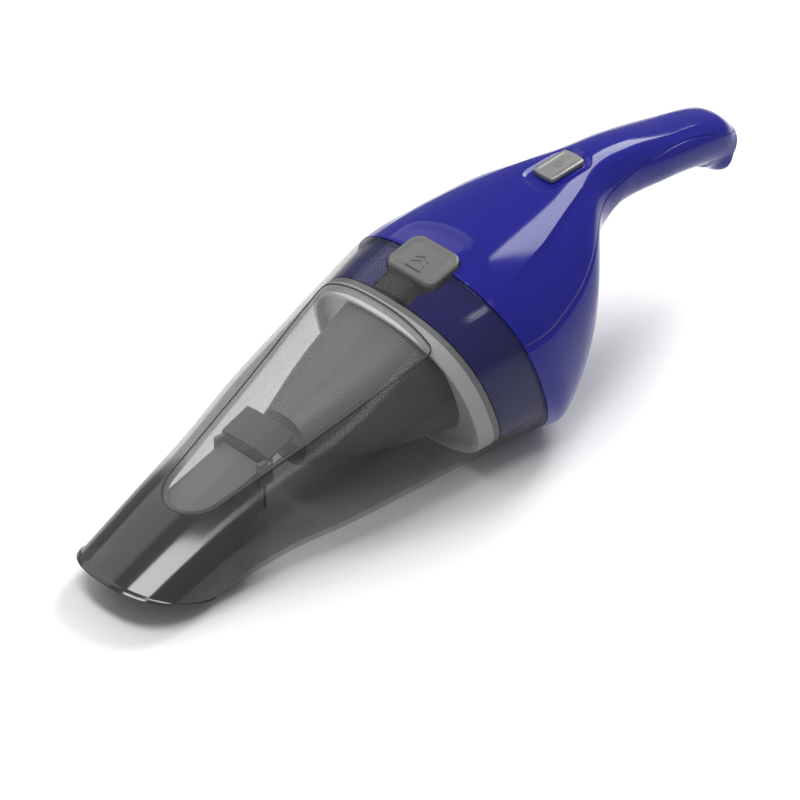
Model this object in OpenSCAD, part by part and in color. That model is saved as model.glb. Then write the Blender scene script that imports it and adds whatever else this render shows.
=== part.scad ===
// Cordless hand vacuum: a smoke-tinted dust bowl with a slanted nozzle on a body with a stick handle.
// X runs along the length with the nozzle at -X, Z is up and Y = 0 is the plane of symmetry.
// The vacuum rests on the nozzle's lower edge and on its belly, at Z = 0.

/* [Overall form] */
// Length from the nozzle lip to the handle end
overall_length = 418; // [415:0.5:421]
// Greatest width, at the rear edge of the bowl's skirt
overall_width = 124.8; // [124:0.2:126]
// Height of the crest above the surface the vacuum rests on
overall_height = 116; // [115.5:0.1:116.5]

/* [Walls] */
// Wall of the dust bowl
bowl_wall = 2.2; // [1.8:0.1:2.4]
// Wall of the two body shells
shell_wall = 2.4; // [2:0.1:2.8]
// How far the body's collar is set in under the bowl's skirt
collar_inset = 3; // [2.8:0.1:3.4]
// Gap between the two body shells along the parting line
parting_gap = 0.2; // [0.1:0.1:0.4]

/* [Window and duct] */
// Thickness of the clear window
window_thick = 1.2; // [1:0.1:1.4]
// Width of the ledge that carries the window
window_ledge = 3; // [2:0.5:4]
// Outer width of the inlet duct
duct_width = 28; // [24:1:30]
// Radius of the flap's hinge pin
flap_pin_r = 1; // [0.8:0.1:1.2]
// Radial clearance of moving parts on their pins
running_gap = 0.05; // [0.03:0.01:0.1]

/* [Latch and switch] */
// Length of the release button
button_length = 23; // [21:0.5:24]
// Width of the release button
button_width = 32.6; // [30:0.2:33]
// Travel of the release button
button_travel = 2.5; // [2:0.1:3]
// Length of the power switch cap
switch_length = 23.6; // [22:0.2:24]
// Width of the power switch cap
switch_width = 14; // [12:0.5:15]
// Travel of the power switch
switch_travel = 6; // [5:0.5:6]

/* [Motor and fan] */
// Height of the motor axis
motor_z = 50; // [49:0.5:51]
// Outer radius of the motor can
motor_r = 14; // [13.8:0.1:14.2]
// Length of the motor can
motor_length = 38; // [37.5:0.5:38.5]
// Radius of the motor shaft
shaft_r = 1.15; // [1:0.05:1.2]
// Outer radius of the fan
fan_r = 31; // [29:0.5:32]
// Number of fan blades
fan_blades = 9; // [7:1:11]

/* [Battery] */
// Radius of one cell
cell_r = 9.2; // [9:0.05:9.3]
// Length of one cell
cell_length = 65; // [64:0.5:65.5]

/* [Hidden] */
$fn = 48;

// Colours
BLUE = [0.17, 0.18, 0.50];
SMOKE = [0.25, 0.25, 0.27, 0.55];
CLEAR = [0.6, 0.6, 0.62, 0.4];
GREY = [0.46, 0.46, 0.45];
DARK = [0.16, 0.16, 0.17];
STEEL = [0.7, 0.7, 0.72];
COPPER = [0.72, 0.42, 0.22];

// Points round one cross-section of the outer form
SEGMENTS = 36;
// Scale of the form table from its nominal size
FX = overall_length / 418;
FY = overall_width / 124.8;
FZ = overall_height / 116;
TABLE_SCALE = [FX, FZ, FX, FZ, FY, 1, 1];

// Cross-sections of the outer form from the nozzle lip to the handle end. Each row holds the top
// point (x, z), the bottom point (x, z), the half width, the roundness exponent of the outline and
// the height of the widest place as a share of the section.
FORM = [for (row = [
    [-209, 20, -154, -0.5, 33, 2.4, 0.46],
    [-167, 38, -136, 0, 36, 2.5, 0.46],
    [-124, 54, -114, 2, 41, 2.5, 0.46],
    [-80, 70, -80, 3, 50, 2.5, 0.46],
    [-28, 94, 4, 3, 58, 2.5, 0.43],
    [2, 103, 36, 0.5, 62, 2.5, 0.47],
    [28, 108, 50, -0.8, 61, 2.5, 0.47],
    [72, 113, 66, 20, 50, 2.4, 0.48],
    [106, 116, 82, 54, 26, 2.3, 0.49],
    [133, 114, 110, 81, 19, 2.3, 0.49],
    [167, 107, 152, 82, 18, 2.3, 0.5],
    [197, 100, 186, 76, 16, 2.3, 0.5],
    [209, 90, 197, 70, 14, 2.3, 0.5]]) [for (i = [0:6]) row[i] * TABLE_SCALE[i]]];
// Stations in FORM: nozzle lip, duct wall, ring, skirt edge and handle end
LIP = 0;
DUCT_WALL = 1;
RING = 4;
SKIRT = 5;
TAIL = 12;
COLLAR_FRONT = RING + 0.12;

// Cross-sections of the filter screen, front, middle and rear, in the same form
SCREEN_FORM = [
    [-92, 58, -90, 30, 15, 2.5, 0.5],
    [-60, 73, -50, 20, 27, 2.5, 0.5],
    [-27, 86, -1, 12, 36, 2.5, 0.5]];
SCREEN_REAR = 2;

// Side view of the parting line between the two body shells
PARTING = [[-60, 75], [15, 75], [50, 82], [80, 95], [110, 102.5], [140, 104.5], [175, 101], [214, 86]];

// Release button: its middle in X and the height of its underside
BUTTON_X = 0.5;
BUTTON_BASE_Z = 94;
BUTTON_PROUD = 1.5;
SPRING_SHELF_Z = 86;
// Latch tongue: its front end in X and its half width
TONGUE_FRONT_X = -20.8;
TONGUE_HALF_Y = 11.5;
// Power switch: the middle of its cap on the surface, and the slope of the surface there
SWITCH_POS = [92, 0, 114.9];
SWITCH_TILT = -4;
// Inlet duct: rear end, and the hinge pin's axis
DUCT_REAR_X = -118;
FLAP_AXIS = [-115.4, 0, 49.6];
FLAP_FOOT_Z = 22.5;
// Motor unit along X
CAN_X = 32;
FAN_X = 17.5;
HOUSING_X = 14;
// Cells and the handle end's charging inlet
CELL_POS = [36, 9.9, 88];
SOCKET_POS = [202.5, 0, 80];
SOCKET_TILT = 90 + 28.8;
// Screws from below: x, y, and the heights of the head's seat and of the tip
SCREWS = [[46, 43, 68, 90], [46, -43, 68, 90], [75, 27.5, 80, 101], [75, -27.5, 80, 101],
    [178, 0, 87, 103]];
SCREW_R = 1.2;
SCREW_HEAD_R = 2.7;

// ---------- form functions ----------

// Tangent of a table of sections at row i
function tangent(table, i) = let (last = len(table) - 1)
    i == 0 ? table[1] - table[0]
    : i == last ? table[last] - table[last - 1]
    : (table[i + 1] - table[i - 1]) / 2;

// Section at place t, smoothly between the rows of a table
function section_at(table, t) = let (
        i = max(0, min(floor(t), len(table) - 2)),
        u = t - i)
    (2 * u ^ 3 - 3 * u ^ 2 + 1) * table[i] + (u ^ 3 - 2 * u ^ 2 + u) * tangent(table, i)
    + (3 * u ^ 2 - 2 * u ^ 3) * table[i + 1] + (u ^ 3 - u ^ 2) * tangent(table, i + 1);

// Power of a number that keeps its sign
function signed_pow(v, e) = sign(v) * pow(abs(v), e);

// Points round a section, set in by a distance
function section_points(s, inset) = let (
        top = [s[0], s[1]],
        bottom = [s[2], s[3]],
        up = (top - bottom) / norm(top - bottom),
        inner_top = top - up * inset,
        inner_bottom = bottom + up * inset,
        middle = inner_bottom + (inner_top - inner_bottom) * s[6],
        half_width = s[4] - inset)
    [for (k = [0:SEGMENTS - 1]) let (
        a = 360 * k / SEGMENTS,
        y = half_width * signed_pow(cos(a), 2 / s[5]),
        r = signed_pow(sin(a), 2 / s[5]),
        p = middle + (r >= 0 ? (inner_top - middle) * r : (middle - inner_bottom) * r))
        [p[0], y, p[1]]];

// Outline of a table's section at place t, set in by a distance
function outline(table, t, inset) = section_points(section_at(table, t), inset);

// Outlines of a screen-shaped cup with a wall, from its front place
function cup_outlines(front_t, rear_t, inset, wall, floor_t, steps = 7) = concat(
    [for (i = [0:steps]) outline(SCREEN_FORM, front_t + (rear_t - front_t) * i / steps, inset)],
    [for (i = [steps:-1:0]) outline(
        SCREEN_FORM, front_t + floor_t + (rear_t - front_t - floor_t) * i / steps, inset + wall)]);

// Triangles of a tube with a number of rings and closed ends
function tube_faces(rings, sides) = concat(
    [[for (k = [0:sides - 1]) k]],
    [for (i = [0:rings - 2], k = [0:sides - 1], half = [0, 1]) let (
        a = i * sides + k,
        b = i * sides + (k + 1) % sides)
        half == 0 ? [a, a + sides, b] : [b, a + sides, b + sides]],
    [[for (k = [sides - 1:-1:0]) (rings - 1) * sides + k]]);

// Points of a smooth curve through a list of points
function curve(points, steps) = [for (i = [0:len(points) - 2], j = [0:steps - 1])
    section_at(points, i + j / steps)];

// ---------- shared shapes ----------

// Solid between places t0 and t1 of a table, set in by a distance
module form(table, t0, t1, inset, rings = 8) {
    polyhedron(
        points = [for (i = [0:rings - 1])
            each section_points(section_at(table, t0 + (t1 - t0) * i / (rings - 1)), inset)],
        faces = tube_faces(rings, SEGMENTS));
}

// Hollow ring through a list of outlines, closed from the last back to the first
module ring_wall(outlines) {
    count = len(outlines);
    polyhedron(
        points = [for (o = outlines) each o],
        faces = [for (i = [0:count - 1], k = [0:SEGMENTS - 1]) let (
                a = i * SEGMENTS,
                b = ((i + 1) % count) * SEGMENTS,
                n = (k + 1) % SEGMENTS)
            each [[a + k, b + k, a + n], [a + n, b + k, b + n]]]);
}

// Cup through a list of outlines, from its outer end round the rim to its inner end
module cup(outlines) {
    polyhedron(
        points = [for (o = outlines) each o],
        faces = tube_faces(len(outlines), SEGMENTS));
}

// Evaluates its children as one mesh
module bake() {
    resize([0, 0, 0]) children();
}

// Everything above the surface the vacuum stands on
module above_floor() {
    translate([-250, -100, 0]) cube([500, 200, 200]);
}

// Cylinder along +X
module rod_x(r, length) {
    rotate([0, 90, 0]) cylinder(r = r, h = length);
}

// Ring along +X
module ring_x(outer_r, inner_r, length) {
    rotate([0, 90, 0]) difference() {
        cylinder(r = outer_r, h = length);
        translate([0, 0, -1]) cylinder(r = inner_r, h = length + 2);
    }
}

// Box from its low and high corners
module span(low, high) {
    translate(low) cube(high - low);
}

// Rectangle with round corners, centred on its middle
module round_rect(size, r) {
    hull()
        for (x = [-1, 1], y = [-1, 1])
            translate([x * (size[0] / 2 - r), y * (size[1] / 2 - r)]) circle(r = r, $fn = 32);
}

// Plan outline of the window, grown by a distance
module window_plan(grow) {
    hull() {
        translate([-146.5, 0]) circle(r = 17.5 + grow);
        translate([-33, 0]) square([7 + 2 * grow, 75 + 2 * grow], center = true);
    }
}

// Column over the release button's plan, grown by a distance and made longer towards the rear
module button_column(grow, longer = 0) {
    translate([BUTTON_X + longer / 2, 0, 80])
        linear_extrude(40) round_rect([button_length + 2 * grow + longer, button_width + 2 * grow], 6);
}

// Region under or over the parting line
module parting_side(upper) {
    line = curve(PARTING, 4);
    far_z = upper ? 200 : -50;
    gap = upper ? parting_gap / 2 : -parting_gap / 2;
    rotate([90, 0, 0])
        linear_extrude(200, center = true)
            polygon(concat(
                [for (p = line) [p[0], p[1] + gap]],
                [[230, 78 + gap], [230, far_z], [-60, far_z]]));
}

// ---------- dust bowl assembly ----------

module dust_bowl() {
    color(SMOKE) bake() intersection() {
        above_floor();
        difference() {
            union() {
                difference() {
                    form(FORM, LIP, SKIRT, 0, 21);
                    form(FORM, LIP - 0.2, SKIRT + 0.2, bowl_wall, 19);
                }
                latch_catch();
            }
            // Opening and ledge for the window
            linear_extrude(120) window_plan(-window_ledge);
            difference() {
                translate([0, 0, 20]) linear_extrude(100) window_plan(0.15);
                form(FORM, 0.5, RING + 0.3, window_thick + 0.3, 14);
            }
            // Notch for the release button, open to the rear
            button_column(0.6, 30);
        }
    }
}

// Rib inside the skirt that the latch tongue's nose stands behind
module latch_catch() {
    intersection() {
        span([-18, -9, 80], [-16.2, 9, 110]);
        difference() {
            form(FORM, RING, SKIRT, 1, 8);
            form(FORM, RING - 0.2, SKIRT + 0.2, 2.7, 8);
        }
    }
}

module bowl_window() {
    color(CLEAR) bake() intersection() {
        translate([0, 0, 20]) linear_extrude(100) window_plan(0);
        difference() {
            form(FORM, 0.5, RING + 0.3, 0.1, 14);
            form(FORM, 0.4, RING + 0.4, 0.1 + window_thick, 14);
        }
    }
}

// Side view of the duct, set in by a distance
module duct_side(inset) {
    rotate([90, 0, 0])
        linear_extrude(duct_width - 2 * inset, center = true)
            offset(delta = -inset)
                polygon([[-166, 34], [DUCT_REAR_X, 48], [DUCT_REAR_X, 23], [-148, 10]]);
}

module inlet_duct() {
    wall = 1.6;
    ear_y = duct_width / 2;
    color(DARK) difference() {
        bake() difference() {
            union() {
                form(FORM, DUCT_WALL, DUCT_WALL + 0.05, bowl_wall + 0.15, 2);
                duct_side(0);
                for (side = [-1, 1])
                    translate([0, side * (ear_y + 0.9), 0])
                        span([DUCT_REAR_X - 4, -1.1, 38], [FLAP_AXIS[0] + 2.2, 1.1, 51.2]);
            }
            // Passage, open at both ends
            duct_side(wall);
            span([DUCT_REAR_X - 3, wall - ear_y, 24.8], [DUCT_REAR_X + 1, ear_y - wall, 45.4]);
            translate([-3, 0, -0.8]) duct_side(wall);
        }
        // Holes that hold the flap's pin
        translate(FLAP_AXIS) rotate([90, 0, 0])
            cylinder(r = flap_pin_r, h = duct_width + 10, center = true);
    }
}

// Roof over the flap, close under the window
module flap_hood() {
    roof_gap = bowl_wall + 0.4;
    thick = 1.2;
    color(DARK) bake() intersection() {
        span([FLAP_AXIS[0] - 1.1, -16.2, 50], [-100, 16.2, 62]);
        difference() {
            form(FORM, DUCT_WALL, RING, roof_gap, 14);
            form(FORM, DUCT_WALL - 0.1, RING + 0.1, roof_gap + thick, 14);
        }
    }
}

module flap_pin() {
    color(STEEL) translate(FLAP_AXIS) rotate([90, 0, 0])
        cylinder(r = flap_pin_r, h = duct_width + 3.6, center = true);
}

module inlet_flap() {
    width = duct_width - 1;
    color(DARK) difference() {
        union() {
            translate(FLAP_AXIS) rotate([90, 0, 0]) cylinder(r = 2.2, h = width, center = true);
            span(
                [DUCT_REAR_X + 0.4, -width / 2, FLAP_FOOT_Z],
                [DUCT_REAR_X + 2.2, width / 2, FLAP_AXIS[2]]);
        }
        translate(FLAP_AXIS) rotate([90, 0, 0])
            cylinder(r = flap_pin_r + running_gap, h = width + 2, center = true);
    }
}

// ---------- filter assembly ----------

module filter_frame() {
    front_t = RING - 0.13;
    web_t = RING - 0.035;
    rear_t = RING + 0.03;
    rim = bowl_wall + 0.5;
    rim_inner = rim + 2.5;
    hole_gap = -0.1;
    color([0.72, 0.72, 0.72]) ring_wall([
        outline(FORM, front_t, rim),
        outline(FORM, rear_t, rim),
        outline(SCREEN_FORM, SCREEN_REAR + 0.08, hole_gap),
        outline(SCREEN_FORM, SCREEN_REAR, hole_gap),
        outline(FORM, web_t, rim_inner),
        outline(FORM, front_t, rim_inner)]);
}

module filter_screen() {
    color([0.5, 0.5, 0.5]) cup(cup_outlines(0, SCREEN_REAR + 0.04, 0, 0.8, 0.04));
}

module filter_cup() {
    color([0.85, 0.85, 0.82]) cup(cup_outlines(0.12, SCREEN_REAR, 3, 2, 0.08));
}

module filter_seal() {
    front_t = RING + 0.035;
    rear_t = RING + 0.1;
    outer = collar_inset + 0.2;
    inner = collar_inset + 4.5;
    color([0.1, 0.1, 0.1]) ring_wall([
        outline(FORM, front_t, outer),
        outline(FORM, rear_t, outer),
        outline(FORM, rear_t, inner),
        outline(FORM, front_t, inner)]);
}

// ---------- body shells ----------

// Hollow blue form of both shells, collar included
module body_hollow() {
    difference() {
        union() {
            form(FORM, SKIRT + 0.02, TAIL, 0, 28);
            form(FORM, COLLAR_FRONT, SKIRT + 0.1, collar_inset, 5);
        }
        form(FORM, SKIRT + 0.12, TAIL - 0.16, shell_wall, 26);
        form(FORM, COLLAR_FRONT - 0.1, SKIRT + 0.3, collar_inset + shell_wall - 0.2, 5);
    }
}

// Solid inside of both shells, which trims the screw posts
module body_inside() {
    form(FORM, SKIRT - 0.1, TAIL - 0.1, shell_wall / 2, 24);
}

// Posts round the screws
module screw_posts(low_z) {
    for (s = SCREWS)
        translate([s[0], s[1], low_z]) cylinder(r = 4.5, h = 112 - low_z, $fn = 20);
}

module upper_shell() {
    color(BLUE) difference() {
        bake() difference() {
            intersection() {
                parting_side(true);
                union() {
                    body_hollow();
                    intersection() {
                        body_inside();
                        screw_posts(60);
                    }
                    // Pad under the power switch
                    at_switch() span([-15, -9, -4], [9, 9, -1.5]);
                }
            }
            button_column(0.4);
            // Slot in the collar for the latch tongue
            span([-32, -TONGUE_HALF_Y - 0.7, 80], [BUTTON_X, TONGUE_HALF_Y + 0.7, 110]);
            // Dish and slot under the power switch
            at_switch() {
                translate([-1.8, 0, -1.3]) linear_extrude(8) round_rect([38, 20], 8);
                span([-3.6 - switch_travel, -2.1, -10], [3.6, 2.1, 2]);
            }
        }
        // Pilot bores
        for (s = SCREWS)
            translate([s[0], s[1], s[2]]) cylinder(r = SCREW_R, h = s[3] - s[2], $fn = 24);
    }
}

module lower_shell() {
    color(BLUE) difference() {
        bake() intersection() {
            above_floor();
            parting_side(false);
            difference() {
                union() {
                    body_hollow();
                    intersection() {
                        body_inside();
                        screw_posts(0);
                    }
                    // Lip under the handle end
                    intersection() {
                        form(FORM, TAIL - 0.9, TAIL - 0.1, -2, 5);
                        span([186, -10, 60], [202, 10, 80]);
                    }
                }
                exhaust_slots();
            }
        }
        // Clearance bores, and recesses for the heads
        for (s = SCREWS)
            translate([s[0], s[1], -1]) {
                cylinder(r = SCREW_R + 0.4, h = 120, $fn = 24);
                cylinder(r = SCREW_HEAD_R + 0.3, h = s[2] + 1, $fn = 24);
            }
        translate(SOCKET_POS) rotate([0, SOCKET_TILT, 0])
            translate([0, 0, -15]) cylinder(r = 5, h = 25);
    }
}

// Slots for the outgoing air, low on the rear of the belly
module exhaust_slots() {
    for (y = [-24:8:24])
        span([54, y - 1.5, 16], [100, y + 1.5, 38]);
}

// ---------- motor unit ----------

module motor_bulkhead() {
    bore_r = 22.5;
    color(DARK) difference() {
        bake() difference() {
            union() {
                form(FORM, RING + 0.22, RING + 0.3, collar_inset + shell_wall, 2);
                intersection() {
                    form(FORM, RING + 0.22, SKIRT + 0.2, collar_inset + shell_wall, 6);
                    union() {
                        translate([-30, 0, motor_z]) rod_x(bore_r + 2, 30 + HOUSING_X - 0.1);
                        span([-24, -9, SPRING_SHELF_Z - 2], [7, 9, SPRING_SHELF_Z]);
                    }
                }
                // Pin inside the spring, which stops the button at the end of its travel
                translate([BUTTON_X, 0, SPRING_SHELF_Z - 1])
                    cylinder(r = 2, h = BUTTON_BASE_Z - button_travel - SPRING_SHELF_Z + 0.7, $fn = 24);
            }
            // Room for the latch tongue
            span([-40, -TONGUE_HALF_Y - 1, SPRING_SHELF_Z], [-4, TONGUE_HALF_Y + 1, 110]);
        }
        translate([-50, 0, motor_z]) rod_x(bore_r, 100);
    }
}

module intake_grille() {
    color(DARK) translate([6, 0, motor_z]) rotate([0, 90, 0]) linear_extrude(2) {
        for (r = [4, 10, 16, 22.4])
            difference() {
                circle(r = r);
                circle(r = r - 1.6);
            }
        for (a = [0:45:315])
            rotate(a) translate([3, -0.8]) square([18.5, 1.6]);
    }
}

module fan_housing() {
    wall = 1.5;
    outer_r = fan_r + 4.5;
    depth = 19;
    color(DARK) translate([HOUSING_X, 0, motor_z]) difference() {
        rod_x(outer_r, depth);
        translate([wall, 0, 0]) rod_x(outer_r - wall, depth - 2 * wall);
        translate([-1, 0, 0]) rod_x(18, 3);
        translate([depth - 3, 0, 0]) rod_x(motor_r + 0.2, 5);
        // Outlets that send the air back past the motor
        for (a = [0:30:330])
            rotate([a, 0, 0]) span([depth - 3, motor_r + 8, -4], [depth + 1, outer_r - 3, 4]);
    }
}

module motor_mount() {
    color([0.08, 0.08, 0.08]) translate([HOUSING_X + 19.1, 0, motor_z])
        ring_x(motor_r + 5, motor_r + 0.05, 7);
}

module motor_can() {
    color(STEEL) translate([CAN_X, 0, motor_z]) difference() {
        rod_x(motor_r, motor_length);
        translate([1.4, 0, 0]) rod_x(motor_r - 1.2, motor_length);
        translate([-1, 0, 0]) rod_x(4, 4);
        for (a = [0:90:270])
            rotate([a, 0, 0]) span([-1, 7, -2], [3, 11, 2]);
    }
}

module motor_end_cap() {
    color([0.85, 0.85, 0.8]) translate([CAN_X + motor_length - 3, 0, motor_z]) difference() {
        union() {
            rod_x(motor_r - 1.25, 4);
            for (side = [-1, 1])
                span([3.9, side * 8 - 1.5, -0.4], [8, side * 8 + 1.5, 0.4]);
        }
        translate([-1, 0, 0]) rod_x(4, 12);
    }
}

module motor_magnets() {
    color([0.25, 0.25, 0.27]) translate([CAN_X + 6, 0, motor_z]) difference() {
        ring_x(motor_r - 1.25, motor_r - 3.2, 24);
        for (side = [-1, 1])
            span([-1, side * 12 - 8, -4], [26, side * 12 + 8, 4]);
    }
}

module motor_brushes() {
    color([0.2, 0.2, 0.2])
        for (side = [-1, 1])
            translate([CAN_X + 32, 0, motor_z + side * 6.6]) cube([3, 3, 3.8], center = true);
}

module bush(x) {
    color(COPPER) translate([x, 0, motor_z]) ring_x(4, shaft_r + running_gap, 4.5);
}

module front_bush() {
    bush(CAN_X - 1);
}

module rear_bush() {
    bush(CAN_X + motor_length - 3.5);
}

module motor_shaft() {
    color(STEEL) translate([FAN_X - 1, 0, motor_z]) rod_x(shaft_r, 55);
}

module armature() {
    radius = motor_r - 3.7;
    color(COPPER) translate([CAN_X + 7, 0, motor_z]) difference() {
        rod_x(radius, 22);
        translate([-1, 0, 0]) rod_x(shaft_r, 24);
        for (a = [0:72:288])
            rotate([a, 0, 0]) span([-1, radius - 5, -1.1], [23, radius + 1, 1.1]);
    }
}

module commutator() {
    color(COPPER) translate([CAN_X + 29.5, 0, motor_z]) ring_x(4.5, shaft_r, 4.5);
}

module fan_impeller() {
    depth = 11;
    hub_r = 5;
    color(DARK) translate([FAN_X, 0, motor_z]) rotate([0, 90, 0]) difference() {
        union() {
            cylinder(r = hub_r, h = depth);
            translate([0, 0, depth - 1.5]) cylinder(r = fan_r, h = 1.5);
            linear_extrude(depth - 1) fan_blade_plan();
            translate([0, 0, -0.6]) difference() {
                cylinder(r = fan_r, h = 1.2);
                translate([0, 0, -1]) cylinder(r = 17, h = 4);
            }
        }
        translate([0, 0, -2]) cylinder(r = shaft_r, h = depth + 4);
    }
}

// Blades that curve back from the hub to the rim
module fan_blade_plan() {
    steps = 6;
    sweep = 38;
    thick = 1.3;
    inner_r = 9;
    front = [for (i = [0:steps]) let (
            r = inner_r + (fan_r - 0.4 - inner_r) * i / steps,
            a = sweep * (i / steps) ^ 2)
        [r * cos(a), r * sin(a)]];
    back = [for (i = [steps:-1:0]) front[i] + thick * [-0.4, 0.9]];
    for (b = [0:fan_blades - 1])
        rotate(360 * b / fan_blades) polygon(concat(front, back));
}

// ---------- battery and electrics ----------

module battery_cell(side) {
    x = CELL_POS[0];
    color([0.25, 0.5, 0.35]) translate([x, side * CELL_POS[1], CELL_POS[2]]) {
        rod_x(cell_r, cell_length - 1.5);
        translate([cell_length - 1.5, 0, 0]) rod_x(2.8, 1.5);
    }
}

module cell_left() {
    battery_cell(1);
}

module cell_right() {
    battery_cell(-1);
}

module cell_tabs() {
    color(STEEL) {
        span([CELL_POS[0] - 0.5, -14, CELL_POS[2] - 3], [CELL_POS[0] - 0.2, 14, CELL_POS[2] + 3]);
        for (side = [-1, 1])
            translate([CELL_POS[0] + cell_length + 0.2, side * CELL_POS[1], CELL_POS[2]])
                span([0, -3, -3], [0.3, 3, 6]);
    }
}

module cell_cradle() {
    color(DARK) difference() {
        span([CELL_POS[0] + 4, -17.5, CELL_POS[2] - 11], [CELL_POS[0] + 48, 17.5, CELL_POS[2] - 4]);
        for (side = [-1, 1])
            translate([CELL_POS[0] - 1, side * CELL_POS[1], CELL_POS[2]])
                rod_x(cell_r + 0.1, cell_length + 2);
    }
}

module circuit_board() {
    color([0.1, 0.35, 0.18]) {
        span([120, -8, 94], [164, 8, 95.6]);
        span([124, -4, 95.6], [132, 4, 97.2]);
        span([138, -6, 95.6], [143, -1, 99.6]);
        span([148, 1, 95.6], [156, 6, 98.1]);
        span([159, -3, 95.6], [162, 3, 98.6]);
    }
}

module charge_socket() {
    color(DARK) translate(SOCKET_POS) rotate([0, SOCKET_TILT, 0]) difference() {
        translate([0, 0, -12]) cylinder(r = 4.95, h = 12);
        translate([0, 0, -9]) cylinder(r = 2.75, h = 10);
        translate([0, 0, -13]) cylinder(r = 1.05, h = 14);
    }
}

module charge_pin() {
    color(STEEL) translate(SOCKET_POS) rotate([0, SOCKET_TILT, 0])
        translate([0, 0, -14]) cylinder(r = 1.05, h = 12.5);
}

// Places its children on the surface under the power switch
module at_switch() {
    translate(SWITCH_POS) rotate([0, SWITCH_TILT, 0]) children();
}

module switch_block() {
    color(DARK) at_switch() difference() {
        span([-14, -6, -14], [9, 6, -7]);
        span([-8.8, -1.6, -10], [2.8, 1.6, -6]);
    }
}

module power_switch() {
    color(GREY) at_switch() {
        difference() {
            translate([0, 0, -0.9]) linear_extrude(2.6) switch_plan(0);
            translate([0, 0, -1.5]) linear_extrude(1.4) switch_plan(-1.2);
        }
        span([-3, -1.8, -3], [3, 1.8, 0]);
    }
}

// Plan of the switch cap, with bowed ends
module switch_plan(grow) {
    bow_r = 11;
    intersection() {
        square([switch_length + 2 * grow, switch_width + 2 * grow], center = true);
        hull()
            for (side = [-1, 1])
                translate([side * (switch_length / 2 - bow_r), 0]) circle(r = bow_r + grow);
    }
}

module switch_slider() {
    color(DARK) at_switch() {
        span([-3, -1.8, -5], [3, 1.8, -3]);
        span([-7, -5, -6.6], [7, 5, -5]);
        span([-1.6, -1.2, -9.4], [1.6, 1.2, -6.6]);
    }
}

module shell_screws() {
    color(STEEL)
        for (s = SCREWS)
            translate([s[0], s[1], s[2]]) {
                translate([0, 0, -2.2]) cylinder(r = SCREW_HEAD_R, h = 2.2, $fn = 24);
                cylinder(r = SCREW_R, h = s[3] - s[2], $fn = 24);
            }
}

// Lead of round wire through a list of points
module lead(points) {
    wire_r = 0.8;
    sides = 8;
    last = len(points) - 1;
    polyhedron(
        points = [for (i = [0:last]) let (
                run = points[min(i + 1, last)] - points[max(i - 1, 0)],
                across = cross(run, [0, 1, 0.2]),
                u = across / norm(across),
                v = cross(run, u) / norm(run))
            each [for (k = [0:sides - 1]) let (a = 360 * k / sides)
                points[i] + wire_r * (u * cos(a) + v * sin(a))]],
        faces = tube_faces(last + 1, sides));
}

module wire_harness() {
    color([0.7, 0.1, 0.1]) {
        // Switch to board, cells to board, and board to charging inlet
        lead([[102, 3, 105], [112, 4, 104], [122, 5, 97]]);
        lead([[103, -10, 92], [111, -8, 93], [121, -6, 97]]);
        lead([[163, 5, 97], [176, 7.5, 92], [188, 3, 86]]);
        // Switch to motor, down beside the cells
        lead([[84, 6.3, 101.6], [84, 21.5, 98], [80, 21.5, 78], [75.8, 8, 51.5]]);
        lead([[84, -6.3, 101.6], [84, -21.5, 98], [80, -21.5, 78], [75.8, -8, 51.5]]);
    }
}

// ---------- release latch ----------

module release_button() {
    color(GREY) bake() intersection() {
        button_column(0);
        span([-20, -30, BUTTON_BASE_Z], [30, 30, 120]);
        form(FORM, RING, 6, -BUTTON_PROUD, 10);
    }
}

module latch_tongue() {
    front = TONGUE_FRONT_X;
    rear = BUTTON_X - button_length / 2;
    color(DARK) bake() {
        intersection() {
            span([front, -TONGUE_HALF_Y, 80], [rear, TONGUE_HALF_Y, 110]);
            difference() {
                form(FORM, RING, SKIRT + 0.3, 3.6, 8);
                form(FORM, RING - 0.1, SKIRT + 0.4, 5.6, 8);
            }
        }
        // Nose that stands in front of the skirt's catch
        intersection() {
            span([front, -8, 80], [front + 2.5, 8, 110]);
            difference() {
                form(FORM, RING, SKIRT, 3, 8);
                form(FORM, RING - 0.1, SKIRT + 0.1, 4, 8);
            }
        }
    }
}

// Coil spring from the shelf to the underside of the button
module latch_spring() {
    wire = 0.45;
    coil_r = 3.6;
    turns = 4;
    steps = 14;
    sides = 6;
    rings = turns * steps + 1;
    height = BUTTON_BASE_Z - SPRING_SHELF_Z - 2 * wire;
    color(STEEL) translate([BUTTON_X, 0, SPRING_SHELF_Z + wire])
        polyhedron(
            points = [for (i = [0:rings - 1], k = [0:sides - 1]) let (
                a = 360 * i / steps,
                r = coil_r + wire * sin(360 * k / sides))
                [r * cos(a), r * sin(a), height * i / (rings - 1) + wire * cos(360 * k / sides)]],
            faces = tube_faces(rings, sides));
}

dust_bowl();
bowl_window();
inlet_duct();
flap_hood();
flap_pin();
inlet_flap();
filter_frame();
filter_screen();
filter_cup();
filter_seal();
upper_shell();
lower_shell();
motor_bulkhead();
intake_grille();
fan_housing();
motor_can();
motor_end_cap();
motor_magnets();
motor_brushes();
front_bush();
rear_bush();
motor_mount();
cell_left();
cell_right();
cell_tabs();
cell_cradle();
circuit_board();
charge_socket();
charge_pin();
switch_block();
shell_screws();
wire_harness();
release_button();
latch_tongue();
latch_spring();
power_switch();
switch_slider();
motor_shaft();
armature();
commutator();
fan_impeller();
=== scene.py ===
# Looks of a cordless hand vacuum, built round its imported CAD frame.
import math

import bmesh
import bpy
import numpy as np
from mathutils import Matrix, Vector
from mathutils.bvhtree import BVHTree


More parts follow.
